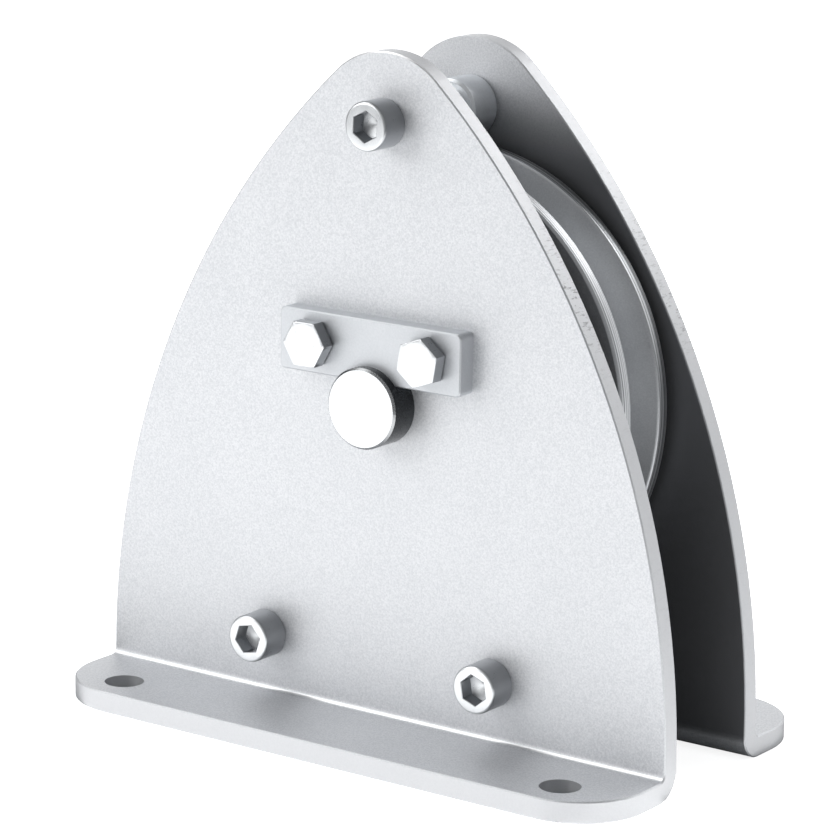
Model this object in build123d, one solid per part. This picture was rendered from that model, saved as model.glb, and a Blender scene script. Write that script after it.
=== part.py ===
from build123d import *
import math
import os

# Deflection sheave block. The two bent side plates stand on their flanges, and one grooved sheave
# turns between them on a fixed axle. X runs along the plates' width, Y from front to rear, Z up.
# The origin is the middle of the base, level with the underside of the flanges. Sizes are in mm.

# Sheave
sheave_diameter = 180.0
sheave_width = 31.0
rim_thickness = 6.0
rim_chamfer = 0.9
groove_root_radius = 6.5
groove_half_angle = 17.5
groove_floor = 9.0
hub_wall = 10.5
web_recess = 5.0
web_fillet = 2.0

# Ball bearings, two in the hub side by side
bearing_section = 12.5
bearing_width = 13.0
bearing_chamfer = 0.6
ring_height = 3.1
ball_diameter = 7.144
ball_count = 11
race_conformity = 1.04
cage_thickness = 2.0
cage_width = 8.8
seal_thickness = 1.0
seal_recess = 0.4
circlip_thickness = 1.5
circlip_depth = 1.4
circlip_height = 4.6
circlip_gap_angle = 34.0
circlip_lug_radius = 3.0
circlip_lug_hole_radius = 1.2

# Side plates
plate_thickness = 8.0
plate_gap = 47.0
plate_side_margin = 35.0
plate_top_radius = 32.2
bend_inner_radius = 2.5
edge_chamfer = 0.5
rear_side_clearance = 3.0
base_clearance = 36.0

# Flanges and their fixing holes
flange_reach = 41.6
flange_corner_radius = 28.0
mount_hole_diameter = 15.0
mount_hole_edge = 26.5
mount_hole_reach = 26.5

# Screwed spacers that hold the plates apart
screw_diameter = 12.0
screw_head_diameter = 18.0
screw_head_height = 12.0
screw_head_chamfer = 0.8
screw_socket_flats = 10.0
screw_socket_depth = 6.0
screw_tip_gap = 0.6
rear_screw_bite = 7.0
sleeve_wall = 1.9
boss_diameter = 23.0
boss_length = 15.5
boss_chamfer = 1.0
top_keeper_gap = 1.0
top_edge_distance = 25.5
lower_keeper_gap = 7.2
lower_spacer_angle = 28.0

# Axle and its holder
axle_diameter = 30.0
axle_front_overhang = 12.4
axle_rear_overhang = 3.0
axle_chamfer = 0.8
distance_ring_wall = 3.0
holder_length = 80.0
holder_height = 23.0
holder_thickness = 7.8
holder_corner_radius = 2.0
holder_edge_chamfer = 0.5
slot_depth = 6.0
holder_bolt_diameter = 10.0
holder_bolt_spacing = 50.0
holder_bolt_flats = 16.2
holder_bolt_head = 5.9
holder_bolt_crown = 18.0
holder_bolt_turns = (1.0, 20.4)

# Clearances
running_clearance = 0.06
fit_clearance = 0.02
slot_clearance = 0.15
bolt_clearance = 0.5

# Worked out from the above
sheave_radius = sheave_diameter / 2
axle_radius = axle_diameter / 2
axle_height = base_clearance + sheave_radius
plate_half_width = sheave_radius + plate_side_margin
boss_radius = boss_diameter / 2
top_spacer_z = axle_height + sheave_radius + top_keeper_gap + boss_radius
plate_height = top_spacer_z + top_edge_distance
inner_face = plate_gap / 2
outer_face = inner_face + plate_thickness
bend_outer_radius = bend_inner_radius + plate_thickness
flange_edge = outer_face + flange_reach

sheave_middle = inner_face - rear_side_clearance - sheave_width / 2
bearing_inner_radius = axle_radius + fit_clearance
bearing_outer_radius = axle_radius + bearing_section
hub_radius = bearing_outer_radius + hub_wall
pitch_radius = (bearing_inner_radius + bearing_outer_radius) / 2
ball_radius = ball_diameter / 2
race_radius = ball_radius * race_conformity
inner_ring_top = bearing_inner_radius + ring_height
outer_ring_bottom = bearing_outer_radius - ring_height
bearing_stack = (sheave_middle - bearing_width, sheave_middle, sheave_middle + bearing_width)

lower_distance = sheave_radius + lower_keeper_gap + boss_radius
lower_x = lower_distance * math.sin(math.radians(lower_spacer_angle))
lower_z = axle_height - lower_distance * math.cos(math.radians(lower_spacer_angle))
top_points = [(0.0, top_spacer_z)]
lower_points = [(-lower_x, lower_z), (lower_x, lower_z)]
spacer_points = top_points + lower_points
screw_radius = screw_diameter / 2
screw_hole_radius = screw_radius + bolt_clearance
boss_front = inner_face - boss_length

holder_bottom = axle_height + axle_radius - slot_depth
holder_middle_z = holder_bottom + holder_height / 2
holder_front = -outer_face - holder_thickness
holder_bolt_x = holder_bolt_spacing / 2
holder_bolt_radius = holder_bolt_diameter / 2
mount_hole_x = plate_half_width - mount_hole_edge
mount_hole_y = outer_face + mount_hole_reach


def rod(radius, y_start, y_end, x=0.0, z=0.0):
    """A cylinder along Y between two depths."""
    middle = (y_start + y_end) / 2
    return Pos(x, middle, z) * Rot(90, 0, 0) * Cylinder(radius, y_end - y_start)


def turned(section):
    """A section in radius and depth, turned about the axle's axis."""
    return Pos(0, 0, axle_height) * revolve(section, Axis.Y)


def band(inner_radius, outer_radius, y_start, y_end):
    """A rectangle in radius and depth."""
    middle = ((inner_radius + outer_radius) / 2, (y_start + y_end) / 2)
    return Pos(*middle) * Rectangle(outer_radius - inner_radius, y_end - y_start)


def round_edges(solid, radius):
    """The solid's round edges of one radius."""
    circles = solid.edges().filter_by(GeomType.CIRCLE)
    return [edge for edge in circles if abs(edge.radius - radius) < 1e-4]


def free_edges(faces):
    """The edges that only one of the faces has."""
    edges = [edge for face in faces for edge in face.edges()]
    return [edge for edge in edges if sum(edge.is_same(other) for other in edges) == 1]


def plate_outline():
    """Pointed arch of a side plate: two long side arcs that run into a small top arc."""
    foot = bend_outer_radius
    rise = plate_height - plate_top_radius - foot
    spread = 2 * (plate_half_width - plate_top_radius)
    side_radius = (plate_half_width**2 + rise**2 - plate_top_radius**2) / spread
    centre_x = plate_half_width - side_radius
    sweep = math.atan2(rise, -centre_x)

    def side_point(angle):
        return centre_x + side_radius * math.cos(angle), foot + side_radius * math.sin(angle)

    low = side_point(0)
    middle = side_point(sweep / 2)
    high = side_point(sweep)
    right = ThreePointArc(low, middle, high)
    top = ThreePointArc(high, (0, plate_height), (-high[0], high[1]))
    left = ThreePointArc((-high[0], high[1]), (-middle[0], middle[1]), (-low[0], low[1]))
    base = Polyline((-low[0], low[1]), (-low[0], 0), (low[0], 0), low)
    return make_face(right + top + left + base)


def bent_section():
    """Upright leg, bend and flange of the front plate, in depth and height."""
    bend_y = -outer_face - bend_inner_radius
    slant = math.sqrt(0.5)
    outer_middle = (bend_y + bend_outer_radius * slant, bend_outer_radius * (1 - slant))
    inner_middle = (bend_y + bend_inner_radius * slant, bend_outer_radius - bend_inner_radius * slant)
    inner_leg = Line((-inner_face, plate_height), (-inner_face, bend_outer_radius))
    outer_bend = ThreePointArc((-inner_face, bend_outer_radius), outer_middle, (bend_y, 0))
    flange = Polyline((bend_y, 0), (-flange_edge, 0), (-flange_edge, plate_thickness), (bend_y, plate_thickness))
    inner_bend = ThreePointArc((bend_y, plate_thickness), inner_middle, (-outer_face, bend_outer_radius))
    outer_leg = Polyline((-outer_face, bend_outer_radius), (-outer_face, plate_height), (-inner_face, plate_height))
    return make_face(inner_leg + outer_bend + flange + inner_bend + outer_leg)


def skin(solid, upright_y, flat_z, bend_radius):
    """The faces of one side of the bent sheet."""
    upright = [face for face in solid.faces().filter_by(Axis.Y) if abs(face.center().Y - upright_y) < 1e-4]
    flat = [face for face in solid.faces().filter_by(Axis.Z) if abs(face.center().Z - flat_z) < 1e-4]
    bends = solid.faces().filter_by(GeomType.CYLINDER)
    bend = [face for face in bends if abs(face.radius - bend_radius) < 1e-4]
    return upright + flat + bend


def bent_plate():
    """The front plate before its holes are drilled."""
    sheet = extrude(Plane.YZ * bent_section(), plate_half_width, both=True)
    arch = extrude(Plane.XZ * plate_outline(), flange_edge, both=True)
    foot = extrude(RectangleRounded(2 * plate_half_width, 2 * flange_edge, flange_corner_radius), plate_height)
    plate = (sheet & arch & foot).solid()
    outside = skin(plate, -outer_face, plate_thickness, bend_inner_radius)
    inside = skin(plate, -inner_face, 0, bend_outer_radius)
    return chamfer(free_edges(outside) + free_edges(inside), edge_chamfer)


def drilled_plate():
    """The front plate with the holes that both plates have."""
    plate = bent_plate()
    plate -= rod(axle_radius + fit_clearance, -outer_face - 1, -inner_face + 1, z=axle_height)
    for x, z in spacer_points:
        plate -= rod(screw_hole_radius, -outer_face - 1, -inner_face + 1, x, z)
    for x in (-mount_hole_x, mount_hole_x):
        plate -= Pos(x, -mount_hole_y, plate_thickness / 2) * Cylinder(mount_hole_diameter / 2, plate_thickness + 2)
    return plate


def front_side_plate():
    """Front plate, with tapped holes for the holder's bolts as well."""
    plate = drilled_plate()
    for x in (-holder_bolt_x, holder_bolt_x):
        plate -= rod(holder_bolt_radius + fit_clearance, -outer_face - 1, -inner_face + 1, x, holder_middle_z)
    return plate


def rear_side_plate():
    """Rear plate, the mirror image of the front one."""
    return mirror(drilled_plate(), about=Plane.XZ)


def sleeves(points):
    """Thin spacing sleeves over the screws, from the front plate to the bosses."""
    group = []
    for x, z in points:
        sleeve = rod(screw_hole_radius + sleeve_wall, -inner_face, boss_front, x, z)
        group.append(sleeve - rod(screw_hole_radius, -inner_face - 1, boss_front + 1, x, z))
    return Compound(children=group)


def bosses(points):
    """Tapped bosses against the rear plate."""
    group = []
    for x, z in points:
        boss = rod(boss_radius, boss_front, inner_face, x, z)
        boss = chamfer(boss.edges().filter_by(GeomType.CIRCLE), boss_chamfer)
        group.append(boss - rod(screw_radius + fit_clearance, boss_front - 1, inner_face + 1, x, z))
    return Compound(children=group)


def cap_screw(shank_length):
    """Socket head cap screw along Y, its head's underside at 0 and its shank towards +Y."""
    head = rod(screw_head_diameter / 2, -screw_head_height, 0)
    rim = head.edges().filter_by(GeomType.CIRCLE).sort_by(Axis.Y)[0]
    head = chamfer(rim, screw_head_chamfer)
    hexagon = RegularPolygon(screw_socket_flats / 2, 6, major_radius=False, rotation=30)
    socket = extrude(Plane.XZ.offset(screw_head_height) * hexagon, -screw_socket_depth)
    shank = rod(screw_radius, 0, shank_length)
    tip = shank.edges().filter_by(GeomType.CIRCLE).sort_by(Axis.Y)[-1]
    return head - socket + chamfer(tip, screw_head_chamfer)


def front_cap_screws():
    """Long screws through the front plate and the sleeves into the bosses."""
    length = outer_face + inner_face - rear_screw_bite - screw_tip_gap
    group = [Pos(x, -outer_face, z) * cap_screw(length) for x, z in spacer_points]
    return Compound(children=group)


def rear_cap_screws():
    """Short screws through the rear plate into the bosses."""
    length = plate_thickness + rear_screw_bite
    group = [Pos(x, outer_face, z) * Rot(0, 0, 180) * cap_screw(length) for x, z in spacer_points]
    return Compound(children=group)


def axle():
    """Fixed axle, slotted on top for its holder."""
    front = -outer_face - axle_front_overhang
    bar = rod(axle_radius, front, outer_face + axle_rear_overhang, z=axle_height)
    bar = chamfer(bar.edges().filter_by(GeomType.CIRCLE), axle_chamfer)
    slot_width = holder_thickness + slot_clearance
    slot_height = slot_depth + slot_clearance
    slot_z = axle_height + axle_radius - slot_height / 2
    slot = Pos(0, -outer_face - slot_width / 2, slot_z + 1) * Box(axle_diameter, slot_width, slot_height + 2)
    return bar - slot


def axle_holder():
    """Flat bar bolted to the front plate, its lower edge in the axle's slot."""
    outline = RectangleRounded(holder_length, holder_height, holder_corner_radius)
    bar = extrude(Plane.XZ.offset(outer_face) * Pos(0, holder_middle_z) * outline, holder_thickness)
    face = bar.faces().sort_by(Axis.Y)[0]
    bar = chamfer(face.edges(), holder_edge_chamfer)
    for x in (-holder_bolt_x, holder_bolt_x):
        bar -= rod(holder_bolt_radius + bolt_clearance, holder_front - 1, -outer_face + 1, x, holder_middle_z)
    return bar


def hex_bolt(turn, shank_length):
    """Hexagon bolt along Y, its head's underside at 0 and its shank towards +Y."""
    hexagon = RegularPolygon(holder_bolt_flats / 2, 6, major_radius=False, rotation=turn)
    head = extrude(Plane.XZ * hexagon, holder_bolt_head)
    corner = holder_bolt_flats / 2 / math.cos(math.radians(30))
    inset = corner - holder_bolt_crown / 2
    dome = rod(corner, -holder_bolt_head, 0)
    rim = dome.edges().filter_by(GeomType.CIRCLE).sort_by(Axis.Y)[0]
    dome = chamfer(rim, inset * math.tan(math.radians(30)), inset)
    return (head & dome) + rod(holder_bolt_radius, 0, shank_length)


def holder_bolts():
    """The two bolts of the axle holder, each as its own tightening left it."""
    length = holder_thickness + plate_thickness
    places = zip((-holder_bolt_x, holder_bolt_x), holder_bolt_turns)
    group = [Pos(x, holder_front, holder_middle_z) * hex_bolt(turn, length) for x, turn in places]
    return Compound(children=group)


def distance_ring(y_start, y_end):
    """Ring on the axle between a side plate and a bearing's inner ring."""
    inner = axle_radius + fit_clearance
    return turned(band(inner, axle_radius + distance_ring_wall, y_start, y_end))


def front_distance_ring():
    return distance_ring(-inner_face, bearing_stack[0])


def rear_distance_ring():
    return distance_ring(bearing_stack[2], inner_face)


def race(side, middle):
    """Raceway of one ring as a turned ring of round section, with the balls' running clearance."""
    reach = race_radius - ball_radius - running_clearance
    return turned(Pos(pitch_radius + side * -reach, middle) * Circle(race_radius))


def inner_ring(y_start):
    """Bearing ring on the axle."""
    ring = turned(band(bearing_inner_radius, inner_ring_top, y_start, y_start + bearing_width))
    ring = chamfer(round_edges(ring, bearing_inner_radius), bearing_chamfer)
    return ring - race(-1, y_start + bearing_width / 2)


def outer_ring(y_start):
    """Bearing ring in the sheave's hub."""
    ring = turned(band(outer_ring_bottom, bearing_outer_radius, y_start, y_start + bearing_width))
    ring = chamfer(round_edges(ring, bearing_outer_radius), bearing_chamfer)
    return ring - race(1, y_start + bearing_width / 2)


def ball_places(y_start):
    """Places of one bearing's balls, each turned so that its X points away from the axle."""
    middle = y_start + bearing_width / 2
    for number in range(ball_count):
        turn = 360 * number / ball_count
        yield Pos(0, 0, axle_height) * Rot(0, -turn, 0) * Pos(pitch_radius, middle, 0)


def bearing_balls(y_start):
    return Compound(children=[place * Sphere(ball_radius) for place in ball_places(y_start)])


def bearing_cage(y_start):
    """Ring with a round pocket for each ball."""
    middle = y_start + bearing_width / 2
    half_height = cage_thickness / 2
    half_width = cage_width / 2
    outline = band(pitch_radius - half_height, pitch_radius + half_height, middle - half_width, middle + half_width)
    cage = turned(outline)
    pocket = Rot(0, 90, 0) * Cylinder(ball_radius + running_clearance, 3 * cage_thickness)
    for place in ball_places(y_start):
        cage -= place * pocket
    return cage


def bearing_seals(y_start):
    """Flat seals at both sides of a bearing, held in the outer ring."""
    clear_radius = inner_ring_top + 5 * running_clearance
    starts = (y_start + seal_recess, y_start + bearing_width - seal_recess - seal_thickness)
    bands = [band(clear_radius, outer_ring_bottom, start, start + seal_thickness) for start in starts]
    return Compound(children=[turned(section) for section in bands])


def circlip(y_start):
    """Retaining ring in the hub's groove, open at the bottom between two pierced lugs."""
    outer = bearing_outer_radius + circlip_depth - fit_clearance
    inner = bearing_outer_radius - circlip_height
    ring = turned(band(inner, outer, y_start, y_start + circlip_thickness))
    half_gap = math.radians(circlip_gap_angle / 2)
    reach = 2 * outer
    wedge = Polygon((0, 0), (-reach * math.tan(half_gap), -reach), (reach * math.tan(half_gap), -reach), align=None)
    plane = Plane.XZ.offset(-y_start) * Pos(0, axle_height)
    ring -= extrude(plane * wedge, circlip_thickness, both=True)
    lug_angle = half_gap + math.radians(5)
    lug_distance = inner + circlip_lug_radius / 3
    for side in (-1, 1):
        x = side * lug_distance * math.sin(lug_angle)
        z = axle_height - lug_distance * math.cos(lug_angle)
        ring += rod(circlip_lug_radius, y_start, y_start + circlip_thickness, x, z)
        ring -= rod(circlip_lug_hole_radius, y_start - 1, y_start + circlip_thickness + 1, x, z)
    return ring


def front_circlip():
    return circlip(bearing_stack[0] - circlip_thickness)


def rear_circlip():
    return circlip(bearing_stack[2])


def rope_groove():
    """Round-bottomed groove with sloping walls, as a section in radius and depth."""
    slope = math.radians(groove_half_angle)
    mouth = sheave_width / 2 - rim_thickness
    root_centre = sheave_radius - (mouth - groove_root_radius / math.cos(slope)) / math.tan(slope)
    wall_low = root_centre - groove_root_radius * math.sin(slope)
    wall_half = groove_root_radius * math.cos(slope)
    over = 1.0
    open_half = mouth + over * math.tan(slope)
    corners = [
        (wall_low, wall_half),
        (sheave_radius + over, open_half),
        (sheave_radius + over, -open_half),
        (wall_low, -wall_half),
    ]
    section = Polygon(*corners, align=None) + Pos(root_centre, 0) * Circle(groove_root_radius)
    return section, root_centre - groove_root_radius


def sheave():
    """Grooved wheel with a thinner web and a hub bored for the two bearings."""
    half = sheave_width / 2
    groove, groove_bottom = rope_groove()
    web_outer = groove_bottom - groove_floor
    wheel = turned(band(bearing_outer_radius, sheave_radius, -half, half) - groove)
    for start, end in ((-half - 1, -half + web_recess), (half - web_recess, half + 1)):
        wheel -= turned(band(hub_radius, web_outer, start, end))
    wheel = chamfer(round_edges(wheel, sheave_radius), rim_chamfer)
    floor_edges = [
        edge
        for edge in round_edges(wheel, hub_radius) + round_edges(wheel, web_outer)
        if abs(abs(edge.center().Y) - (half - web_recess)) < 1e-4
    ]
    wheel = fillet(floor_edges, web_fillet)
    groove_outer = bearing_outer_radius + circlip_depth
    for start in (-bearing_width - circlip_thickness, bearing_width):
        wheel -= turned(band(bearing_outer_radius - 1, groove_outer, start, start + circlip_thickness))
    return Pos(0, sheave_middle, 0) * wheel


parts = {
    "front_side_plate": front_side_plate(),
    "rear_side_plate": rear_side_plate(),
    "top_sleeve": sleeves(top_points),
    "lower_sleeves": sleeves(lower_points),
    "top_boss": bosses(top_points),
    "lower_bosses": bosses(lower_points),
    "front_cap_screws": front_cap_screws(),
    "rear_cap_screws": rear_cap_screws(),
    "axle": axle(),
    "axle_holder": axle_holder(),
    "holder_bolts": holder_bolts(),
    "front_distance_ring": front_distance_ring(),
    "rear_distance_ring": rear_distance_ring(),
    "sheave": sheave(),
    "front_circlip": front_circlip(),
    "rear_circlip": rear_circlip(),
}
for side, start in (("front", bearing_stack[0]), ("rear", bearing_stack[1])):
    parts[f"{side}_bearing_inner_ring"] = inner_ring(start)
    parts[f"{side}_bearing_outer_ring"] = outer_ring(start)
    parts[f"{side}_bearing_seals"] = bearing_seals(start)
    parts[f"{side}_bearing_balls"] = bearing_balls(start)
    parts[f"{side}_bearing_cage"] = bearing_cage(start)

os.makedirs("parts", exist_ok=True)
for name, part in parts.items():
    export_step(part, f"parts/{name}.step")
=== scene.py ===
import bmesh
import bpy
import math
from mathutils import Matrix, Vector


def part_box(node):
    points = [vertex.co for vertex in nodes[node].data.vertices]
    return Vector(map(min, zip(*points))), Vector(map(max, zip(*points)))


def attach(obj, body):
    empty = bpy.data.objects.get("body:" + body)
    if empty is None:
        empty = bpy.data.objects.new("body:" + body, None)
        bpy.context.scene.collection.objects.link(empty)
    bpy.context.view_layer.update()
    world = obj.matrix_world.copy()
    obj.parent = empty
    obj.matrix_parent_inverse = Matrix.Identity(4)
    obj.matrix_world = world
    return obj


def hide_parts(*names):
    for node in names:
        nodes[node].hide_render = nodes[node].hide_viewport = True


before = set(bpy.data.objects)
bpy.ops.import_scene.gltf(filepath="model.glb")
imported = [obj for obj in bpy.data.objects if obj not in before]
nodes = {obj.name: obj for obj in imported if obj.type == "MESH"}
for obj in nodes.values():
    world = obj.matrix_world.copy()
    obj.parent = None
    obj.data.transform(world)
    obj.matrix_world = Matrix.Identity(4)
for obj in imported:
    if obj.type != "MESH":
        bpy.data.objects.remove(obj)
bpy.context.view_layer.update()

# Deflection sheave block: two bent and zinc-plated side plates, one grooved sheave between them.
# X runs along the plates' width, Y from front to rear, Z up. Lengths in the settings are in mm.

collection = bpy.context.scene.collection
mm = 0.001


# Helpers

def linearColour(code):
    # sRGB hex to linear with alpha
    parts = [int(code[i:i + 2], 16) / 255 for i in (1, 3, 5)]
    return tuple(c / 12.92 if c <= 0.04045 else ((c + 0.055) / 1.055) ** 2.4 for c in parts) + (1.0,)


def perMetre(size):
    # noise scale whose features are about this many mm
    return 1.0 / (size * mm)


def addNode(tree, kind, links=None, values=None, **settings):
    # one node with its settings, its fixed values and what feeds it
    node = tree.nodes.new(kind)
    for name, value in settings.items():
        setattr(node, name, value)
    for socket, value in (values or {}).items():
        node.inputs[socket].default_value = value
    for socket, source in (links or {}).items():
        tree.links.new(source, node.inputs[socket])
    return node


def startMaterial(name, look):
    # Principled surface with the values that are the same all over, and its Object coordinates
    material = bpy.data.materials.new(name)
    material.use_nodes = True
    tree = material.node_tree
    shader = tree.nodes["Principled BSDF"]
    for socket, value in look.items():
        shader.inputs[socket].default_value = value
    place = addNode(tree, "ShaderNodeTexCoord").outputs["Object"]
    return material, tree, shader, place


def newPiece(name, mesh, body, node):
    # a finished mesh that rides a body and stands in for one of its nodes
    piece = bpy.data.objects.new(name, mesh)
    collection.objects.link(piece)
    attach(piece, body)
    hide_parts(node)


# Materials

plateLook = {
    "thickness": 8.0, "innerFace": 23.5, "bendTop": 10.6, "flangeStart": 34.0,
    "bendMiddle": 32.5, "bendReach": 2.3, "gapShadeFull": 204.0, "gapShadeEnd": 246.0,
    "dragMiddle": 178.0, "dragReach": 16.0, "dragFade": 24.0, "dragStretch": 0.25,
    "grain": 0.65, "grainWeight": 1.75, "grit": 0.7, "cloud": 34.0, "cloudWeight": 0.25, "patch": 22.0,
    "light": "#E3E4E6", "dark": "#C9CBCE", "cut": "#D2D3D5", "smooth": 0.54, "dull": 0.64,
    "gapShade": "#68696C", "streak": "#9A9B9D", "bendHighlight": "#F2F2F3", "bendHighlightRough": 0.36,
    "cutPitch": 1.0, "gritHeight": 0.018, "cutHeight": 0.07,
}


def blastedZincPlate():
    # Hot-rolled steel plate, shot-blasted, zinc-plated: matt silver with a fine grain and soft clouds.
    # Its laser-cut edges keep fine drag lines; the inner faces carry a painted shade, darker between the
    # plates, and the inside of the bend a painted highlight.
    look = plateLook
    material, tree, shader, place = startMaterial("blastedZincPlate", {"Metallic": 1.0})
    grain = addNode(tree, "ShaderNodeTexNoise", {"Vector": place},
                    {"Scale": perMetre(look["grain"]), "Detail": 3.0, "Roughness": 0.65}).outputs["Fac"]
    grit = addNode(tree, "ShaderNodeTexNoise", {"Vector": place},
                   {"Scale": perMetre(look["grit"]), "Detail": 2.0}).outputs["Fac"]
    cloud = addNode(tree, "ShaderNodeTexNoise", {"Vector": place},
                    {"Scale": perMetre(look["cloud"]), "Detail": 4.0, "Roughness": 0.55}).outputs["Fac"]
    # cut edges look sideways on the upright leg and in the bend, and level on the flange
    normal = addNode(tree, "ShaderNodeTexCoord").outputs["Normal"]
    facing = addNode(tree, "ShaderNodeVectorMath", {0: normal}, operation="ABSOLUTE").outputs[0]
    section = addNode(tree, "ShaderNodeVectorMath", {0: facing}, {1: (0.0, 1.0, 1.0)},
                      operation="MULTIPLY").outputs[0]
    bent = addNode(tree, "ShaderNodeVectorMath", {0: section}, operation="LENGTH").outputs["Value"]
    facing = addNode(tree, "ShaderNodeSeparateXYZ", {0: facing})
    spot = addNode(tree, "ShaderNodeSeparateXYZ", {0: place})
    depth = addNode(tree, "ShaderNodeMath", {0: spot.outputs["Y"]}, operation="ABSOLUTE").outputs[0]
    inBend = addNode(tree, "ShaderNodeMath", {0: spot.outputs["Z"]}, {1: look["bendTop"] * mm},
                     operation="LESS_THAN").outputs[0]
    low = addNode(tree, "ShaderNodeMath", {0: spot.outputs["Z"]}, {1: (look["thickness"] + 0.2) * mm},
                  operation="LESS_THAN").outputs[0]
    out = addNode(tree, "ShaderNodeMath", {0: depth}, {1: look["flangeStart"] * mm},
                  operation="GREATER_THAN").outputs[0]
    onFlange = addNode(tree, "ShaderNodeMath", {0: low, 1: out}, operation="MULTIPLY").outputs[0]
    across = addNode(tree, "ShaderNodeMix",
                     {"Factor": inBend, "A": facing.outputs["Y"], "B": bent}).outputs[0]
    across = addNode(tree, "ShaderNodeMix", {"Factor": onFlange, "A": across, "B": facing.outputs["Z"]})
    cut = addNode(tree, "ShaderNodeMapRange", {"Value": across.outputs[0]},
                  {"From Min": 0.8, "From Max": 0.5, "To Min": 0.0, "To Max": 1.0}).outputs[0]
    # drag marks are drawn out through the thickness: along Y, or along Z on a flange
    stretch = addNode(tree, "ShaderNodeMix", {"Factor": onFlange}, data_type="VECTOR")
    stretch.inputs[4].default_value = (1.0, look["dragStretch"], 1.0)
    stretch.inputs[5].default_value = (1.0, 1.0, look["dragStretch"])
    linePlace = addNode(tree, "ShaderNodeVectorMath", {0: place, 1: stretch.outputs[1]},
                        operation="MULTIPLY").outputs[0]
    lines = addNode(tree, "ShaderNodeTexNoise", {"Vector": linePlace},
                    {"Scale": perMetre(look["cutPitch"]), "Detail": 3.0, "Roughness": 0.7}).outputs["Fac"]
    patches = addNode(tree, "ShaderNodeTexNoise", {"Vector": place},
                      {"Scale": perMetre(look["patch"]), "Detail": 2.0}).outputs["Fac"]
    patches = addNode(tree, "ShaderNodeMapRange", {"Value": patches},
                      {"From Min": 0.42, "From Max": 0.62, "To Min": 0.35, "To Max": 1.0}).outputs[0]
    # the marks are strongest on one stretch of the edge, below the top
    offMiddle = addNode(tree, "ShaderNodeMath", {0: spot.outputs["Z"]}, {1: look["dragMiddle"] * mm},
                        operation="SUBTRACT").outputs[0]
    offMiddle = addNode(tree, "ShaderNodeMath", {0: offMiddle}, operation="ABSOLUTE").outputs[0]
    dragged = addNode(tree, "ShaderNodeMapRange", {"Value": offMiddle},
                      {"From Min": look["dragReach"] * mm,
                       "From Max": (look["dragReach"] + look["dragFade"]) * mm,
                       "To Min": 1.0, "To Max": 0.12}).outputs[0]
    patches = addNode(tree, "ShaderNodeMath", {0: patches, 1: dragged}, operation="MULTIPLY").outputs[0]
    # colour
    strongGrain = addNode(tree, "ShaderNodeMath", {0: grain}, {1: look["grainWeight"]},
                          operation="MULTIPLY").outputs[0]
    tone = addNode(tree, "ShaderNodeMath", {0: cloud, 2: strongGrain}, {1: look["cloudWeight"]},
                   operation="MULTIPLY_ADD").outputs[0]
    tone = addNode(tree, "ShaderNodeMapRange", {"Value": tone}, {"From Min": 0.7, "From Max": 1.3}).outputs[0]
    face = addNode(tree, "ShaderNodeMix", {"Factor": tone}, data_type="RGBA")
    face.inputs[6].default_value = linearColour(look["dark"])
    face.inputs[7].default_value = linearColour(look["light"])
    cutTone = addNode(tree, "ShaderNodeMix", {"Factor": cut, 6: face.outputs[2]}, data_type="RGBA")
    cutTone.inputs[7].default_value = linearColour(look["cut"])
    # painted shade: the inner faces between the plates are darkened to a dark grey, fading out towards the
    # top
    gapShade = addNode(tree, "ShaderNodeMapRange", {"Value": depth},
                   {"From Min": look["innerFace"] * mm, "From Max": (look["innerFace"] + 0.5) * mm,
                    "To Min": 0.9, "To Max": 0.0}).outputs[0]
    # the painted shade fades out towards the top
    reach = addNode(tree, "ShaderNodeMapRange", {"Value": spot.outputs["Z"]},
                    {"From Min": look["gapShadeFull"] * mm, "From Max": look["gapShadeEnd"] * mm,
                     "To Min": 1.0, "To Max": 0.0}, interpolation_type="SMOOTHSTEP").outputs[0]
    gapShade = addNode(tree, "ShaderNodeMath", {0: gapShade, 1: reach}, operation="MULTIPLY").outputs[0]
    gapShaded = addNode(tree, "ShaderNodeMix", {"Factor": gapShade, 6: cutTone.outputs[2]}, data_type="RGBA")
    gapShaded.inputs[7].default_value = linearColour(look["gapShade"])
    # dark dashes where the cut dragged, on the upright edges only
    dash = addNode(tree, "ShaderNodeMapRange", {"Value": lines},
                   {"From Min": 0.54, "From Max": 0.66}).outputs[0]
    dash = addNode(tree, "ShaderNodeMath", {0: dash, 1: patches}, operation="MULTIPLY").outputs[0]
    dash = addNode(tree, "ShaderNodeMath", {0: dash, 1: cut}, operation="MULTIPLY").outputs[0]
    upright = addNode(tree, "ShaderNodeMath", {1: inBend}, {0: 1.0}, operation="SUBTRACT").outputs[0]
    dash = addNode(tree, "ShaderNodeMath", {0: dash, 1: upright}, operation="MULTIPLY").outputs[0]
    streaked = addNode(tree, "ShaderNodeMix", {"Factor": dash, 6: gapShaded.outputs[2]}, data_type="RGBA")
    streaked.inputs[7].default_value = linearColour(look["streak"])
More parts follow.
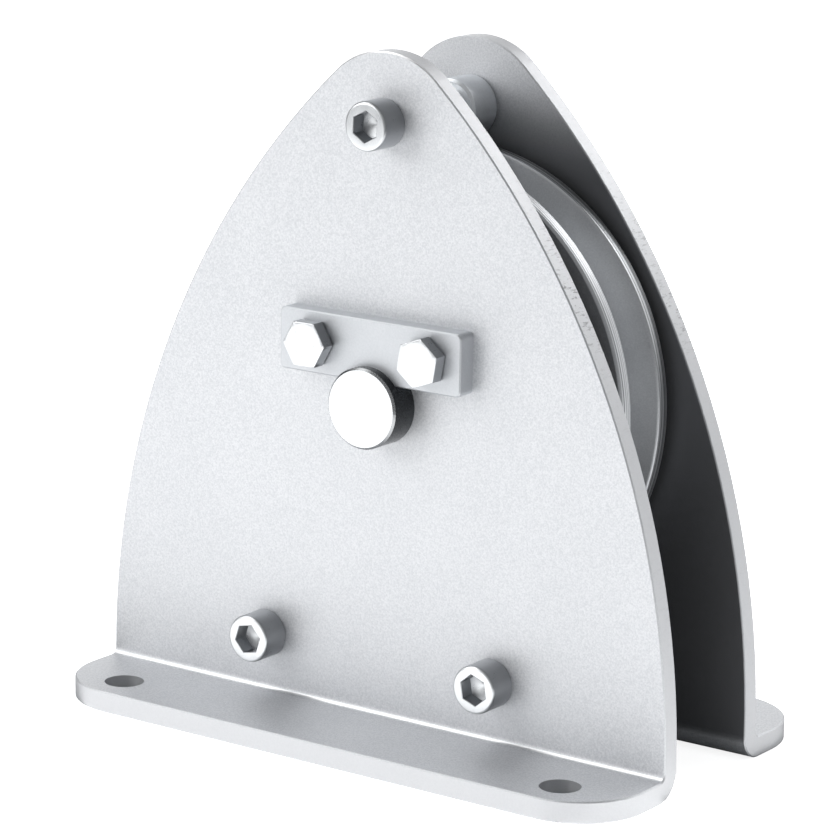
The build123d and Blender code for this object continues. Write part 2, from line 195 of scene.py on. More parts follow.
    # painted highlight: a near-white line along the inside of the bend, where the faces slope at about 45
    # degrees; it is also smoother there
    slope = addNode(tree, "ShaderNodeMath", {0: facing.outputs["Y"], 1: facing.outputs["Z"]},
                    operation="MINIMUM").outputs[0]
    slope = addNode(tree, "ShaderNodeMapRange", {"Value": slope},
                    {"From Min": 0.48, "From Max": 0.64}).outputs[0]
    near = addNode(tree, "ShaderNodeMath", {0: depth},
                   {1: look["bendMiddle"] * mm, 2: look["bendReach"] * mm},
                   operation="COMPARE").outputs[0]
    above = addNode(tree, "ShaderNodeMath", {0: spot.outputs["Z"]}, {1: (look["thickness"] - 1.0) * mm},
                    operation="GREATER_THAN").outputs[0]
    paintedBendHighlight = addNode(tree, "ShaderNodeMath", {0: slope, 1: near}, operation="MULTIPLY").outputs[0]
    paintedBendHighlight = addNode(tree, "ShaderNodeMath", {0: paintedBendHighlight, 1: above}, operation="MULTIPLY").outputs[0]
    colour = addNode(tree, "ShaderNodeMix", {"Factor": paintedBendHighlight, 6: streaked.outputs[2]}, data_type="RGBA")
    colour.inputs[7].default_value = linearColour(look["bendHighlight"])
    tree.links.new(colour.outputs[2], shader.inputs["Base Color"])
    rough = addNode(tree, "ShaderNodeMapRange", {"Value": tone},
                    {"To Min": look["smooth"], "To Max": look["dull"]}).outputs[0]
    rough = addNode(tree, "ShaderNodeMix", {"Factor": paintedBendHighlight, "A": rough},
                    {"B": look["bendHighlightRough"]}).outputs[0]
    tree.links.new(rough, shader.inputs["Roughness"])
    # relief
    lineHeight = addNode(tree, "ShaderNodeMath", {0: lines, 1: cut}, operation="MULTIPLY").outputs[0]
    lineHeight = addNode(tree, "ShaderNodeMath", {0: lineHeight, 1: patches}, operation="MULTIPLY").outputs[0]
    lineBump = addNode(tree, "ShaderNodeBump", {"Height": lineHeight},
                       {"Strength": 0.8, "Distance": look["cutHeight"] * mm}).outputs[0]
    bump = addNode(tree, "ShaderNodeBump", {"Height": grit, "Normal": lineBump},
                   {"Strength": 0.7, "Distance": look["gritHeight"] * mm}).outputs[0]
    tree.links.new(bump, shader.inputs["Normal"])
    return material


def turnedMetal(name, look, axis=None):
    # A turned steel face: fine rings left by the tool, faint smears, a slight change of tone.
    # With an axis the rings run round it; without one they follow the piece's own "localPlace".
    # A look with a "skin" keeps that darker colour wherever the surface doesn't face along Y.
    # A look with a "crest" has coarser, darker tool lines beyond that radius.
    material, tree, shader, place = startMaterial(name, {"Metallic": 1.0})
    if axis is None:
        own = addNode(tree, "ShaderNodeAttribute", attribute_name="localPlace").outputs["Vector"]
    else:
        own = addNode(tree, "ShaderNodeVectorMath", {0: place}, {1: tuple(axis)},
                      operation="SUBTRACT").outputs[0]
    flat = addNode(tree, "ShaderNodeVectorMath", {0: own}, {1: (1.0, 0.0, 1.0)},
                   operation="MULTIPLY").outputs[0]
    radius = addNode(tree, "ShaderNodeVectorMath", {0: flat}, operation="LENGTH").outputs["Value"]
    depth = addNode(tree, "ShaderNodeSeparateXYZ", {0: own}).outputs["Y"]
    # rings by radius and by depth, as a tool leaves them on faces and on round sides
    feed = addNode(tree, "ShaderNodeCombineXYZ", {0: radius, 1: depth}).outputs[0]
    rings = addNode(tree, "ShaderNodeTexNoise", {"Vector": feed},
                    {"Scale": perMetre(look["feed"]), "Detail": 2.0, "Roughness": 0.6},
                    noise_dimensions="2D").outputs["Fac"]
    wide = addNode(tree, "ShaderNodeTexNoise", {"Vector": feed},
                   {"Scale": perMetre(look["feed"] * 9), "Detail": 2.0},
                   noise_dimensions="2D").outputs["Fac"]
    wide = addNode(tree, "ShaderNodeMapRange", {"Value": wide}, {"To Min": 0.38, "To Max": 0.62}).outputs[0]
    smear = addNode(tree, "ShaderNodeTexNoise", {"Vector": place},
                    {"Scale": perMetre(look["smear"]), "Detail": 4.0, "Roughness": 0.6}).outputs["Fac"]
    grain = addNode(tree, "ShaderNodeTexNoise", {"Vector": place},
                    {"Scale": perMetre(look["grain"]), "Detail": 2.0}).outputs["Fac"]
    tone = addNode(tree, "ShaderNodeMath", {0: wide, 1: smear}, operation="ADD").outputs[0]
    tone = addNode(tree, "ShaderNodeMath", {0: tone, 1: grain}, operation="ADD").outputs[0]
    tone = addNode(tree, "ShaderNodeMapRange", {"Value": tone}, {"From Min": 1.1, "From Max": 1.9}).outputs[0]
    colour = addNode(tree, "ShaderNodeMix", {"Factor": tone}, data_type="RGBA")
    colour.inputs[6].default_value = linearColour(look["dark"])
    colour.inputs[7].default_value = linearColour(look["light"])
    if "crest" in look:
        line = addNode(tree, "ShaderNodeMapRange", {"Value": rings},
                       {"From Min": 0.42, "From Max": 0.58}).outputs[0]
        lined = addNode(tree, "ShaderNodeMix", {"Factor": line}, data_type="RGBA")
        lined.inputs[6].default_value = linearColour(look["crestDark"])
        lined.inputs[7].default_value = linearColour(look["crestLight"])
        beyond = addNode(tree, "ShaderNodeMapRange", {"Value": radius},
                         {"From Min": (look["crest"] - 0.25) * mm,
                          "From Max": (look["crest"] - 0.05) * mm}).outputs[0]
        colour = addNode(tree, "ShaderNodeMix", {"Factor": beyond, 6: colour.outputs[2], 7: lined.outputs[2]},
                         data_type="RGBA")
    if "skin" in look:
        normal = addNode(tree, "ShaderNodeTexCoord").outputs["Normal"]
        along = addNode(tree, "ShaderNodeSeparateXYZ", {0: normal}).outputs["Y"]
        along = addNode(tree, "ShaderNodeMath", {0: along}, operation="ABSOLUTE").outputs[0]
        along = addNode(tree, "ShaderNodeMapRange", {"Value": along},
                        {"From Min": 0.5, "From Max": 0.9, "To Min": 1.0, "To Max": 0.0}).outputs[0]
        colour = addNode(tree, "ShaderNodeMix", {"Factor": along, 6: colour.outputs[2]}, data_type="RGBA")
        colour.inputs[7].default_value = linearColour(look["skin"])
    tree.links.new(colour.outputs[2], shader.inputs["Base Color"])
    rough = addNode(tree, "ShaderNodeMapRange", {"Value": tone},
                    {"To Min": look["smooth"], "To Max": look["dull"]}).outputs[0]
    tree.links.new(rough, shader.inputs["Roughness"])
    bump = addNode(tree, "ShaderNodeBump", {"Height": rings},
                   {"Strength": 0.6, "Distance": look["height"] * mm}).outputs[0]
    tree.links.new(bump, shader.inputs["Normal"])
    return material


def grainedSurface(name, look, metallic):
    # An even finish with a fine grain: plated bar, phosphated spring steel, moulded rubber or nylon
    material, tree, shader, place = startMaterial(name, {"Metallic": metallic})
    grain = addNode(tree, "ShaderNodeTexNoise", {"Vector": place},
                    {"Scale": perMetre(look["grain"]), "Detail": 3.0, "Roughness": 0.6}).outputs["Fac"]
    cloud = addNode(tree, "ShaderNodeTexNoise", {"Vector": place},
                    {"Scale": perMetre(look["cloud"]), "Detail": 3.0}).outputs["Fac"]
    tone = addNode(tree, "ShaderNodeMath", {0: grain, 1: cloud}, operation="ADD").outputs[0]
    tone = addNode(tree, "ShaderNodeMapRange", {"Value": tone}, {"From Min": 0.7, "From Max": 1.3}).outputs[0]
    colour = addNode(tree, "ShaderNodeMix", {"Factor": tone}, data_type="RGBA")
    colour.inputs[6].default_value = linearColour(look["dark"])
    colour.inputs[7].default_value = linearColour(look["light"])
    tree.links.new(colour.outputs[2], shader.inputs["Base Color"])
    rough = addNode(tree, "ShaderNodeMapRange", {"Value": tone},
                    {"To Min": look["smooth"], "To Max": look["dull"]}).outputs[0]
    tree.links.new(rough, shader.inputs["Roughness"])
    bump = addNode(tree, "ShaderNodeBump", {"Height": grain},
                   {"Strength": 0.6, "Distance": look["height"] * mm}).outputs[0]
    tree.links.new(bump, shader.inputs["Normal"])
    return material


sheaveLow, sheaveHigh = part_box("sheave")
axleAxis = Vector((0.0, 0.0, (sheaveLow.z + sheaveHigh.z) / 2))

# Plain turned steel: light grey and even in the groove, tool lines on the rims' crests
turnedSteel = turnedMetal("turnedSteel", {
    "feed": 0.8, "smear": 26.0, "grain": 0.6, "height": 0.010,
    "crest": (sheaveHigh.z - sheaveLow.z) / 2 / mm, "crestDark": "#808285", "crestLight": "#DCDEE0",
    "dark": "#B6B8BB", "light": "#D0D2D4", "smooth": 0.42, "dull": 0.52}, axleAxis)
# Bright zinc on turned screws and bolts: near-white faces with faint rings, duller sides
brightZincFastener = turnedMetal("brightZincFastener", {
    "feed": 0.4, "smear": 5.0, "grain": 0.5, "height": 0.004,
    "dark": "#D2D4D6", "light": "#E2E4E5", "skin": "#A2A4A7", "smooth": 0.26, "dull": 0.36})
# Axle bar: near-white faced ends with fine rings, a blackened and oiled side
blackenedAxleSteel = turnedMetal("blackenedAxleSteel", {
    "feed": 0.35, "smear": 12.0, "grain": 0.5, "height": 0.003, "skin": "#3A3C3E",
    "dark": "#D6D8DA", "light": "#E6E8E9", "smooth": 0.22, "dull": 0.32}, axleAxis)
# Polished chrome steel of the bearing rings and balls
polishedBearingSteel = turnedMetal("polishedBearingSteel", {
    "feed": 0.3, "smear": 15.0, "grain": 0.4, "height": 0.001,
    "dark": "#B9BBBE", "light": "#C9CBCE", "smooth": 0.08, "dull": 0.16}, axleAxis)
blastedPlate = blastedZincPlate()
# Plated flat bar: finer and more even than the blasted plates
platedBar = grainedSurface("platedBar", {
    "grain": 0.8, "cloud": 18.0, "height": 0.006,
    "dark": "#C4C7CA", "light": "#D2D4D7", "smooth": 0.46, "dull": 0.56}, 1.0)
# Turned and lightly oiled steel of the bosses and rings: pale and satin
oiledSteel = grainedSurface("oiledSteel", {
    "grain": 0.9, "cloud": 9.0, "height": 0.006,
    "dark": "#DADDE0", "light": "#E8EBEE", "smooth": 0.36, "dull": 0.48}, 1.0)
# Drawn tube with bright zinc
brightTube = grainedSurface("brightTube", {
    "grain": 0.7, "cloud": 7.0, "height": 0.003,
    "dark": "#DFE1E3", "light": "#ECEDEE", "smooth": 0.18, "dull": 0.28}, 1.0)
# Manganese-phosphated spring steel: dark grey, powdery
phosphatedSpringSteel = grainedSurface("phosphatedSpringSteel", {
    "grain": 0.35, "cloud": 6.0, "height": 0.01,
    "dark": "#2A2B2D", "light": "#3C3E40", "smooth": 0.45, "dull": 0.6}, 0.8)
# Moulded nitrile rubber: black, matt
nitrileSeal = grainedSurface("nitrileSeal", {
    "grain": 0.3, "cloud": 8.0, "height": 0.01,
    "dark": "#141516", "light": "#212224", "smooth": 0.5, "dull": 0.65}, 0.0)
# Glass-filled polyamide cage: dark brown-black with a fibrous grain
polyamideCage = grainedSurface("polyamideCage", {
    "grain": 0.5, "cloud": 5.0, "height": 0.01,
    "dark": "#1E1A16", "light": "#312B25", "smooth": 0.4, "dull": 0.55}, 0.0)

nodeFinish = {
    "front_side_plate": blastedPlate, "rear_side_plate": blastedPlate,
    "top_sleeve": brightTube, "lower_sleeves": brightTube,
    "top_boss": oiledSteel, "lower_bosses": oiledSteel,
    "axle": blackenedAxleSteel, "axle_holder": platedBar,
    "front_distance_ring": oiledSteel, "rear_distance_ring": oiledSteel,
    "front_circlip": phosphatedSpringSteel, "rear_circlip": phosphatedSpringSteel,
}
for side in ("front", "rear"):
    nodeFinish[f"{side}_bearing_inner_ring"] = polishedBearingSteel
    nodeFinish[f"{side}_bearing_outer_ring"] = polishedBearingSteel
    nodeFinish[f"{side}_bearing_balls"] = polishedBearingSteel
    nodeFinish[f"{side}_bearing_seals"] = nitrileSeal
    nodeFinish[f"{side}_bearing_cage"] = polyamideCage
for name, finish in nodeFinish.items():
    nodes[name].data.materials.clear()
    nodes[name].data.materials.append(finish)
print("finishes on", len(nodeFinish), "nodes")


# Geometry Nodes

def startTree(name, inputs):
    # a node tree with named inputs: (name, socket type, default)
    tree = bpy.data.node_groups.new(name, "GeometryNodeTree")
    tree.interface.new_socket(name="Geometry", in_out="INPUT", socket_type="NodeSocketGeometry")
    for label, kind, value in inputs:
        socket = tree.interface.new_socket(name=label, in_out="INPUT", socket_type=kind)
        if value is not None:
            socket.default_value = value
    tree.interface.new_socket(name="Geometry", in_out="OUTPUT", socket_type="NodeSocketGeometry")
    source = addNode(tree, "NodeGroupInput").outputs
    return tree, source


def growPiece(tree, start, values):
    # runs a tree on a start mesh and returns the result as a plain mesh
    holder = bpy.data.objects.new("treeStart", start)
    collection.objects.link(holder)
    modifier = holder.modifiers.new("tree", "NODES")
    modifier.node_group = tree
    for item in tree.interface.items_tree:
        if item.in_out == "INPUT" and item.name in values:
            modifier[item.identifier] = values[item.name]
    bpy.context.view_layer.update()
    depsgraph = bpy.context.evaluated_depsgraph_get()
    mesh = bpy.data.meshes.new_from_object(holder.evaluated_get(depsgraph))
    holder.modifiers.remove(modifier)
    bpy.data.objects.remove(holder)
    return mesh


# Sheave: one section swept round the axle

sheaveSize = {
    "rimThickness": 6.0, "rimChamfer": 0.9, "lipRound": 0.45, "grooveRoot": 6.5, "grooveSlope": 17.5,
    "grooveFloor": 9.0, "hubRadius": 38.0, "bore": 27.5, "webRecess": 5.0, "webFillet": 2.0, "edge": 0.35,
    "boreChamfer": 0.6, "clipGroove": 1.5, "clipDepth": 1.4, "bearingWidth": 13.0,
    "steps": 256, "sharpAngle": 28.0,
}


def arcPoints(centre, radius, start, end, count):
    # points on an arc in radius and depth, angles in degrees from the outward direction
    angles = [math.radians(start + (end - start) * i / count) for i in range(count + 1)]
    return [(centre[0] + radius * math.cos(a), centre[1] + radius * math.sin(a)) for a in angles]


def sheaveSection(size, rim, half):
    # the half section from the groove's bottom out over the rim and in to the bore, as (radius, depth)
    slope = math.radians(size["grooveSlope"])
    root = size["grooveRoot"]
    mouth = half - size["rimThickness"]
    rootCentre = rim - (mouth - root / math.cos(slope)) / math.tan(slope)
    grooveBottom = rootCentre - root
    webOuter = grooveBottom - size["grooveFloor"]
    edge, cut, lip = size["edge"], size["rimChamfer"], size["lipRound"]
    points = arcPoints((rootCentre, 0.0), root, 180.0, 90.0 + size["grooveSlope"], 12)
    points += [(rim - 1.0, mouth - math.tan(slope)), (rim - lip * 2 / 3, mouth + lip / 9), (rim, mouth + lip)]
    # the chamfer's two corners are eased a little
    points += [(rim, half - cut - 0.15), (rim - 0.08, half - cut + 0.05)]
    points += [(rim - cut + 0.05, half - 0.08), (rim - cut - 0.15, half)]
    floor = half - size["webRecess"]
    fillet = size["webFillet"]
    points += [(webOuter + edge, half), (webOuter, half - edge)]
    points += arcPoints((webOuter - fillet, floor + fillet), fillet, 0.0, -90.0, 6)
    points += arcPoints((size["hubRadius"] + fillet, floor + fillet), fillet, -90.0, -180.0, 6)
    points += [(size["hubRadius"], half - edge), (size["hubRadius"] - edge, half)]
    bore = size["bore"]
    points += [(bore + size["boreChamfer"], half), (bore, half - size["boreChamfer"])]
    clipEnd = size["bearingWidth"] + size["clipGroove"]
    points += [(bore, clipEnd), (bore + size["clipDepth"], clipEnd)]
    points += [(bore + size["clipDepth"], size["bearingWidth"]), (bore, size["bearingWidth"])]
    points += [(bore, 0.0)]
    return points


def sheaveTree():
    tree, source = startTree("sheaveSweep", [
        ("Section", "NodeSocketObject", None), ("Rim Radius", "NodeSocketFloat", 0.09),
        ("Steps", "NodeSocketInt", 64), ("Place", "NodeSocketVector", None),
        ("Finish", "NodeSocketMaterial", None)])
    ring = addNode(tree, "GeometryNodeCurvePrimitiveCircle",
                   {"Resolution": source["Steps"], "Radius": source["Rim Radius"]})
    section = addNode(tree, "GeometryNodeObjectInfo", {"Object": source["Section"]})
    profile = addNode(tree, "GeometryNodeMeshToCurve", {"Mesh": section.outputs["Geometry"]})
    swept = addNode(tree, "GeometryNodeCurveToMesh",
                    {"Curve": ring.outputs[0], "Profile Curve": profile.outputs[0]})
    upright = addNode(tree, "GeometryNodeTransform",
                      {"Geometry": swept.outputs[0], "Translation": source["Place"]},
                      {"Rotation": (math.pi / 2, 0.0, 0.0)})
    whole = addNode(tree, "GeometryNodeRealizeInstances", {0: upright.outputs[0]})
    coated = addNode(tree, "GeometryNodeSetMaterial",
                     {"Geometry": whole.outputs[0], "Material": source["Finish"]})
    addNode(tree, "NodeGroupOutput", {0: coated.outputs[0]})
    return tree


def pointMesh(name, points, joined):
    # loose points, or points joined in a closed loop
    mesh = bpy.data.meshes.new(name)
    edges = [(i, (i + 1) % len(points)) for i in range(len(points))] if joined else []
    mesh.from_pydata(points, edges, [])
    return mesh


def finishMesh(mesh, sharpAngle):
    # joins doubles, turns faces outwards, and shades smooth up to an angle
    work = bmesh.new()
    work.from_mesh(mesh)
    bmesh.ops.remove_doubles(work, verts=work.verts, dist=1e-6)
    bmesh.ops.recalc_face_normals(work, faces=work.faces)
    for face in work.faces:
        face.smooth = True
    for edge in work.edges:
        edge.smooth = len(edge.link_faces) == 2 and edge.calc_face_angle(0.0) < math.radians(sharpAngle)
    work.to_mesh(mesh)
    work.free()
    return mesh


halfWidth = (sheaveHigh.y - sheaveLow.y) / 2 / mm
rimRadius = (sheaveHigh.z - sheaveLow.z) / 2 / mm
halfSection = sheaveSection(sheaveSize, rimRadius, halfWidth)
section = halfSection + [(r, -y) for r, y in reversed(halfSection[1:-1])]
sectionMesh = pointMesh("section", [((r - rimRadius) * mm, y * mm, 0.0) for r, y in section], joined=True)
sectionObject = bpy.data.objects.new("section", sectionMesh)
collection.objects.link(sectionObject)
sheavePlace = Vector((0.0, (sheaveLow.y + sheaveHigh.y) / 2, axleAxis.z))
wheelMesh = growPiece(sheaveTree(), bpy.data.meshes.new("start"), {
    "Section": sectionObject, "Rim Radius": rimRadius * mm, "Steps": sheaveSize["steps"],
    "Place": sheavePlace, "Finish": turnedSteel})
bpy.data.objects.remove(sectionObject)
newPiece("turnedSheave", finishMesh(wheelMesh, sheaveSize["sharpAngle"]), "wheel", "sheave")
print("sheave", len(wheelMesh.polygons), "faces")


# Screws and bolts: rings of points stacked along Y, some round and some hexagonal

stepsRound = 72
fastenerSharpAngle = 30.0


def hexagonRadius(flats, angle):
    # distance from the middle to a hexagon's side at an angle
    turn = (math.degrees(angle) % 60.0) - 30.0
    return flats / 2 / math.cos(math.radians(turn))


def stackRings(name, rings):
    # each ring gives (radius, depth) for an angle; the first and last rings are closed with a fan
    mesh = bpy.data.meshes.new(name)
    work = bmesh.new()
    angles = [2 * math.pi * i / stepsRound for i in range(stepsRound)]
    made = []
    for ring in rings:
        row = []
        for angle in angles:
            radius, depth = ring(angle)
            across, rise = radius * mm * math.cos(angle), radius * mm * math.sin(angle)
            row.append(work.verts.new((across, depth * mm, rise)))
        made.append(row)
    for near, far in zip(made, made[1:]):
        for i in range(stepsRound):
            j = (i + 1) % stepsRound
            work.faces.new((near[i], near[j], far[j], far[i]))
    for row in (made[0], made[-1]):
        middle = work.verts.new((0.0, sum(v.co.y for v in row) / stepsRound, 0.0))
        for i in range(stepsRound):
            work.faces.new((row[i], row[(i + 1) % stepsRound], middle))
    work.to_mesh(mesh)
    work.free()
    local = mesh.attributes.new("localPlace", "FLOAT_VECTOR", "POINT")
    local.data.foreach_set("vector", [c for v in mesh.vertices for c in v.co])
    return mesh


def circle(radius, depth):
    return lambda angle: (radius, depth)


def hexagon(flats, depth):
    return lambda angle: (hexagonRadius(flats, angle), depth)


def threadRings(radius, pitch, start, end):
    # a coarse stand-in for the thread's turns: crest, root, crest
    rings = []
    depth = start
    while depth + pitch <= end:
        rings += [circle(radius, depth), circle(radius, depth + 0.15 * pitch)]
        rings += [circle(radius - 0.55 * pitch, depth + 0.5 * pitch), circle(radius, depth + 0.85 * pitch)]
        depth += pitch
    return rings


capScrew = {
    "head": 18.0, "height": 12.0, "rimRound": 1.1, "socket": 10.0, "socketLead": 0.25, "socketDepth": 6.0,
    "drill": 1.6, "shank": 11.9, "underRound": 0.5, "pitch": 1.75, "tipChamfer": 1.2,
    "frontTurns": (12.0, 40.0, 28.0), "frontThread": 24.0, "rearTurns": (5.0, 50.0, 21.0), "rearThread": 2.0,
}


def capScrewMesh(name, size, length, threadFrom):
    # socket head cap screw, its head's underside at 0 and its face towards -Y
    face = -size["height"]
    radius, curve, shank = size["head"] / 2, size["rimRound"], size["shank"] / 2
    lead, tip = size["socketLead"], size["tipChamfer"]
    bottom = face + size["socketDepth"]
    rings = [circle(0.4, bottom + size["drill"]), circle(size["socket"] / 2 - 0.3, bottom)]
    rings += [hexagon(size["socket"] - 0.1, bottom), hexagon(size["socket"], bottom - 0.15)]
    rings += [hexagon(size["socket"], face + lead), hexagon(size["socket"] + 2 * lead, face)]
    for i in range(7):
        angle = math.radians(15 * i)
        rings.append(circle(radius - curve + curve * math.sin(angle), face + curve - curve * math.cos(angle)))
    rings += [circle(radius, -0.35), circle(radius - 0.3, 0.0), circle(shank + size["underRound"], 0.0)]
    rings += [circle(shank, size["underRound"]), circle(shank, threadFrom)]
    rings += threadRings(shank, size["pitch"], threadFrom + 0.2, length - tip)
    rings += [circle(shank - 0.9, length - tip / 2), circle(shank - tip, length)]
    return stackRings(name, rings)


holderBolt = {
    "flats": 16.2, "height": 5.9, "crown": 9.0, "crownSlope": 30.0, "washerFace": 7.6, "washerHeight": 0.5,
    "shank": 9.9, "pitch": 1.5, "thread": 3.0, "turns": (1.0, 20.4), "spacing": 50.0,
}


def hexBoltMesh(name, size, length, threadFrom):
    # hexagon bolt with a chamfered crown and a thin washer face, its underside at 0
    face = -size["height"]
    crown, fall = size["crown"], math.tan(math.radians(size["crownSlope"]))
    flats, washer, shank = size["flats"], size["washerFace"], size["shank"] / 2

    def crownEdge(inset, drop):
        def ring(angle):
            reach = hexagonRadius(flats, angle) - inset
            return reach, face + max(0.0, (reach - crown) * fall) + drop
        return ring

    rings = [circle(flats / 4, face), circle(flats / 2 - 0.6, face), crownEdge(0.3, 0.0)]
    rings += [crownEdge(0.1, 0.07), crownEdge(0.0, 0.22)]
    rings += [hexagon(flats, -size["washerHeight"] - 0.25), hexagon(flats - 0.4, -size["washerHeight"])]
    rings += [circle(washer, -size["washerHeight"]), circle(washer, -0.05), circle(washer - 0.1, 0.0)]
    rings += [circle(shank, 0.0), circle(shank, threadFrom)]
    rings += threadRings(shank, size["pitch"], threadFrom + 0.2, length - 0.4)
    rings += [circle(shank - 0.8, length)]
    return stackRings(name, rings)


def fastenerTree():
    tree, source = startTree("fastenerRow", [
        ("Fastener", "NodeSocketObject", None), ("Facing", "NodeSocketVector", None),
        ("Size", "NodeSocketFloat", 1.0), ("Finish", "NodeSocketMaterial", None)])
    template = addNode(tree, "GeometryNodeObjectInfo", {"Object": source["Fastener"]}, {"As Instance": True})
    turn = addNode(tree, "GeometryNodeInputNamedAttribute", None, {"Name": "turn"},
                   data_type="FLOAT").outputs[0]
    spin = addNode(tree, "ShaderNodeCombineXYZ", {1: turn}).outputs[0]
    facing = addNode(tree, "ShaderNodeVectorMath", {0: spin, 1: source["Facing"]}, operation="ADD").outputs[0]
    placed = addNode(tree, "GeometryNodeInstanceOnPoints", {
        "Points": source["Geometry"], "Instance": template.outputs["Geometry"],
        "Rotation": facing, "Scale": source["Size"]})
    whole = addNode(tree, "GeometryNodeRealizeInstances", {0: placed.outputs[0]})
    coated = addNode(tree, "GeometryNodeSetMaterial",
                     {"Geometry": whole.outputs[0], "Material": source["Finish"]})
    addNode(tree, "NodeGroupOutput", {0: coated.outputs[0]})
    return tree


fastenerRow = fastenerTree()


def placeFasteners(piece, node, template, points, turns, facing):
    # one finished piece from a template fastener and its places; turns are in degrees, facing in radians
    templateObject = bpy.data.objects.new("template", finishMesh(template, fastenerSharpAngle))
    collection.objects.link(templateObject)
    start = pointMesh("places", points, joined=False)
    turn = start.attributes.new("turn", "FLOAT", "POINT")
    turn.data.foreach_set("value", [math.radians(-angle) for angle in turns])
    mesh = growPiece(fastenerRow, start, {
        "Fastener": templateObject, "Facing": facing, "Size": 1.0, "Finish": brightZincFastener})
    bpy.data.objects.remove(templateObject)
    newPiece(piece, mesh, "frame", node)
    print(piece, len(mesh.polygons), "faces")


frontLow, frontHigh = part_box("front_cap_screws")
rearLow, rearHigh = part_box("rear_cap_screws")
headRadius = capScrew["head"] / 2 * mm
screwX = frontHigh.x - headRadius
lowZ, topZ = frontLow.z + headRadius, frontHigh.z - headRadius
frontSeat = frontLow.y + capScrew["height"] * mm
rearSeat = rearHigh.y - capScrew["height"] * mm
spots = [(-screwX, lowZ), (screwX, lowZ), (0.0, topZ)]
placeFasteners("frontCapScrews", "front_cap_screws",
               capScrewMesh("frontScrew", capScrew, (frontHigh.y - frontSeat) / mm, capScrew["frontThread"]),
               [(x, frontSeat, z) for x, z in spots], capScrew["frontTurns"], (0.0, 0.0, 0.0))
placeFasteners("rearCapScrews", "rear_cap_screws",
               capScrewMesh("rearScrew", capScrew, (rearSeat - rearLow.y) / mm, capScrew["rearThread"]),
               [(x, rearSeat, z) for x, z in spots], capScrew["rearTurns"], (0.0, 0.0, math.pi))
boltLow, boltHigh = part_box("holder_bolts")
boltSeat = boltLow.y + holderBolt["height"] * mm
holderLow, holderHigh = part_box("axle_holder")
boltX = holderBolt["spacing"] / 2 * mm
boltZ = (holderLow.z + holderHigh.z) / 2
placeFasteners("holderBolts", "holder_bolts",
               hexBoltMesh("holderBolt", holderBolt, (boltHigh.y - boltSeat) / mm, holderBolt["thread"]),
               [(-boltX, boltSeat, boltZ), (boltX, boltSeat, boltZ)], holderBolt["turns"], (0.0, 0.0, 0.0))


# Studio: pale floor, soft lights, camera

studio = {
    "floorRadius": 9.0, "floorTone": "#F6F6F6", "floorLight": "#F9F9F9", "floorCloud": 180.0,
    "floorShade": "#A8AAAC", "floorGlow": 0.85, "worldTone": "#F6F7F9", "worldStrength": 0.36,
    "yaw": 35.042, "pitch": 13.522, "roll": 0.961, "distance": 1403.1, "target": (-4.6, 0.0, 113.1),
    "focal": 4.511524,  # focal length as a share of the sensor's width
    "boxHeight": 0.12,  # the boxes aim at this height
    # soft boxes: azimuth, elevation, distance in metres, size, power
    "boxes": {
        "keyBox": (-44.0, 30.0, 1.4, (1.0, 0.8), 6.6),
        "lowBox": (-35.0, 13.0, 1.7, (1.2, 0.4), 2.2),
        "topBox": (-75.0, 60.0, 1.8, (0.8, 0.8), 4.2),
        "edgeBox": (158.0, 37.0, 1.4, (0.7, 0.5), 5.4),
        "sideBox": (142.0, 9.0, 1.6, (1.0, 0.6), 1.8),
        "backBox": (-145.0, 18.0, 1.6, (1.0, 0.8), 4.5),
    },
    "tableLift": 0.0001,  # the light tables lie this far above the floor
    # light tables: two corners in metres, power
    "tables": {
        "frontTable": ((-0.9, -1.05), (0.128, -0.1), 4.4),
        "edgeTable": ((-0.22, -0.1), (0.128, -0.0714), 0.0389),
        "cornerFoot": ((0.1065, -0.0714), (0.128, -0.03), 0.0041),
        "cornerTable": ((0.128, -0.32), (0.42, 0.0), 0.45),
        "rearTable": ((0.128, 0.0), (0.9, 1.0), 2.4),
    },
}


def addFloor():
    mesh = bpy.data.meshes.new("floor")
    work = bmesh.new()
    bmesh.ops.create_circle(work, cap_ends=True, segments=96, radius=studio["floorRadius"])
    work.to_mesh(mesh)
    work.free()
    floor = bpy.data.objects.new("floor", mesh)
    collection.objects.link(floor)
    material, tree, shader, place = startMaterial("paleFloor", {"Roughness": 0.85, "Specular IOR Level": 0.2})
    # painted board, nearly even; the light it throws back on the metal is weaker than its own white
    noise = addNode(tree, "ShaderNodeTexNoise", {"Vector": place},
                    {"Scale": perMetre(studio["floorCloud"]), "Detail": 2.0})
    mix = addNode(tree, "ShaderNodeMix", {"Factor": noise.outputs["Fac"]}, data_type="RGBA")
    mix.inputs[6].default_value = linearColour(studio["floorTone"])
    mix.inputs[7].default_value = linearColour(studio["floorLight"])
    tree.links.new(mix.outputs[2], shader.inputs["Base Color"])
    shader.inputs["Emission Color"].default_value = (1.0, 1.0, 1.0, 1.0)
    shader.inputs["Emission Strength"].default_value = studio["floorGlow"]
    shade = addNode(tree, "ShaderNodeBsdfDiffuse", None, {"Color": linearColour(studio["floorShade"])})
    seen = addNode(tree, "ShaderNodeLightPath").outputs["Is Camera Ray"]
    both = addNode(tree, "ShaderNodeMixShader", {0: seen, 1: shade.outputs[0], 2: shader.outputs[0]})
    tree.links.new(both.outputs[0], tree.nodes["Material Output"].inputs["Surface"])
    mesh.materials.append(material)


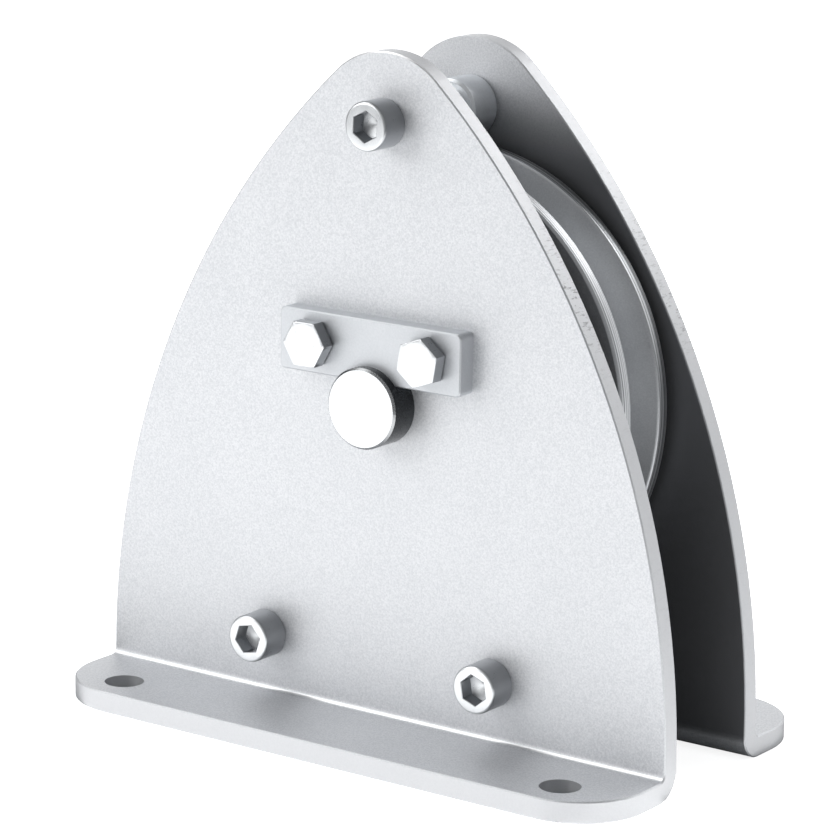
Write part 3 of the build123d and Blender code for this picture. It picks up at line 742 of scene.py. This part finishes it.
def addBox(name, azimuth, elevation, distance, size, power):
    # soft box aimed at the block's middle; azimuth 0 is in front, 90 to the right
    lamp = bpy.data.lights.new(name, "AREA")
    lamp.shape = "RECTANGLE"
    lamp.size, lamp.size_y = size
    lamp.energy = power
    light = bpy.data.objects.new(name, lamp)
    collection.objects.link(light)
    turn, rise = math.radians(azimuth), math.radians(elevation)
    back = Vector((math.sin(turn) * math.cos(rise), -math.cos(turn) * math.cos(rise), math.sin(rise)))
    spot = Vector((0.0, 0.0, studio["boxHeight"])) + back * distance
    light.matrix_world = Matrix.Translation(spot) @ back.to_track_quat("Z", "Y").to_matrix().to_4x4()


def addTable(name, low, high, power):
    # light table flush with the floor; the camera doesn't see it
    lamp = bpy.data.lights.new(name, "AREA")
    lamp.shape = "RECTANGLE"
    lamp.size, lamp.size_y = high[0] - low[0], high[1] - low[1]
    lamp.energy = power
    light = bpy.data.objects.new(name, lamp)
    collection.objects.link(light)
    light.location = ((low[0] + high[0]) / 2, (low[1] + high[1]) / 2, studio["tableLift"])
    light.rotation_euler = (math.pi, 0.0, 0.0)
    light.visible_camera = False


def addCamera():
    camera = bpy.data.cameras.new("camera")
    camera.sensor_width = 36.0
    camera.lens = studio["focal"] * camera.sensor_width
    view = bpy.data.objects.new("camera", camera)
    collection.objects.link(view)
    yaw, pitch, roll = (math.radians(studio[key]) for key in ("yaw", "pitch", "roll"))
    back = Vector((math.sin(yaw) * math.cos(pitch), -math.cos(yaw) * math.cos(pitch), math.sin(pitch)))
    right = Vector((math.cos(yaw), math.sin(yaw), 0.0))
    up = back.cross(right)
    across = right * math.cos(roll) + up * math.sin(roll)
    rise = up * math.cos(roll) - right * math.sin(roll)
    turned = Matrix((across, rise, back)).transposed().to_4x4()
    place = (Vector(studio["target"]) + back * studio["distance"]) * mm
    view.matrix_world = Matrix.Translation(place) @ turned
    bpy.context.scene.camera = view


addFloor()
for name, light in studio["boxes"].items():
    addBox(name, *light)
for name, table in studio["tables"].items():
    addTable(name, *table)
addCamera()
world = bpy.data.worlds.new("studioAir")
world.use_nodes = True
world.node_tree.nodes["Background"].inputs["Color"].default_value = linearColour(studio["worldTone"])
world.node_tree.nodes["Background"].inputs["Strength"].default_value = studio["worldStrength"]
bpy.context.scene.world = world
bpy.context.scene.view_settings.view_transform = "Standard"
print("studio set")
